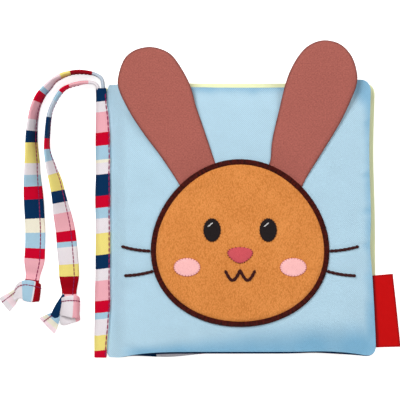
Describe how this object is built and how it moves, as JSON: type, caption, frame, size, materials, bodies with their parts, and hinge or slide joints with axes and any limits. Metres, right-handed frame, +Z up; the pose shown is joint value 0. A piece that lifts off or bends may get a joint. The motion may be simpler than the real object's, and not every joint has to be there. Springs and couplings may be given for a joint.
{
  "type": "crinkle cloth book",
  "caption": "Padded cloth book of three leaves in a striped spine binding, with a bunny head, loose ears, a side label and two knotted cloth ties.",
  "frame": {"origin": "centre of the flat on the underside of the back cover, on the table", "axes": "+Z up out of the front cover, +Y along the spine towards the ears, +X from the spine to the fore edge"},
  "size_m": [0.2007, 0.1594, 0.0191],
  "materials": {
    "striped_cotton": "woven cotton with navy, white, pink, red, sky and yellow stripes",
    "light_blue_cotton": "smooth woven cotton",
    "navy_cotton": "smooth woven cotton",
    "lime_cotton": "smooth woven cotton",
    "tan_plush": "short brushed plush",
    "maroon_thread": "satin stitch with a low sheen",
    "dark_felt": "embroidered",
    "pink_felt": "embroidered",
    "rose_felt": "embroidered",
    "ear_cotton": "rose-brown woven cotton",
    "red_woven_label": "woven satin, bare",
    "wadding": "loose polyester fibre",
    "crinkle_film": "thin crinkling film"
  },
  "bodies": {
    "back_cover": {"back_cover_outer_cloth": "striped_cotton", "back_cover_inner_cloth": "navy_cotton", "back_cover_wadding": "wadding", "back_cover_crinkle_film": "crinkle_film", "back_cover_margin": "navy_cotton", "spine_binding": "striped_cotton", "page_margin": "lime_cotton", "front_cover_margin": "light_blue_cotton", "outer_tie": "striped_cotton", "outer_tie_knot": "striped_cotton", "outer_tie_tail": "striped_cotton", "inner_tie": "striped_cotton", "inner_tie_knot": "striped_cotton", "inner_tie_tail": "striped_cotton"},
    "inner_page": {"page_front_cloth": "lime_cotton", "page_back_cloth": "lime_cotton", "page_wadding": "wadding", "page_crinkle_film": "crinkle_film"},
    "front_cover": {"front_cover_outer_cloth": "light_blue_cotton", "front_cover_inner_cloth": "navy_cotton", "front_cover_wadding": "wadding", "front_cover_crinkle_film": "crinkle_film", "head_patch": "tan_plush", "head_border": "maroon_thread", "left_eye": "dark_felt", "right_eye": "dark_felt", "left_cheek": "pink_felt", "right_cheek": "pink_felt", "nose": "rose_felt", "mouth": "maroon_thread", "left_upper_whisker": "maroon_thread", "left_lower_whisker": "maroon_thread", "right_upper_whisker": "maroon_thread", "right_lower_whisker": "maroon_thread"},
    "left_ear": {"left_ear_front_cloth": "ear_cotton", "left_ear_back_cloth": "ear_cotton", "left_ear_crinkle_film": "crinkle_film"},
    "right_ear": {"right_ear_front_cloth": "ear_cotton", "right_ear_back_cloth": "ear_cotton", "right_ear_crinkle_film": "crinkle_film"},
    "label": {"label_tab": "red_woven_label"}
  },
  "joints": [
    {"name": "page_turn", "type": "hinge", "parent": "back_cover", "child": "inner_page", "pos_m": [-0.06025, 0, 0.0104], "axis": [0, -1, 0], "range_deg": [0, 85], "deforming": ["page_margin"]},
    {"name": "cover_turn", "type": "hinge", "parent": "inner_page", "child": "front_cover", "pos_m": [-0.06025, 0, 0.0172], "axis": [0, -1, 0], "range_deg": [0, 85], "deforming": ["front_cover_margin"]},
    {"name": "left_ear_lift", "type": "hinge", "parent": "front_cover", "child": "left_ear", "pos_m": [-0.0186, 0.02476, 0.01857], "axis": [-0.891, -0.454, 0], "range_deg": [-80, 0]},
    {"name": "right_ear_lift", "type": "hinge", "parent": "front_cover", "child": "right_ear", "pos_m": [0.0236, 0.02476, 0.01858], "axis": [-0.891, 0.454, 0], "range_deg": [-80, 0]},
    {"name": "label_lift", "type": "hinge", "parent": "front_cover", "child": "label", "pos_m": [0.07041, -0.0455, 0.01305], "axis": [0.0436, -0.999, 0], "range_deg": [0, 90]}
  ]
}
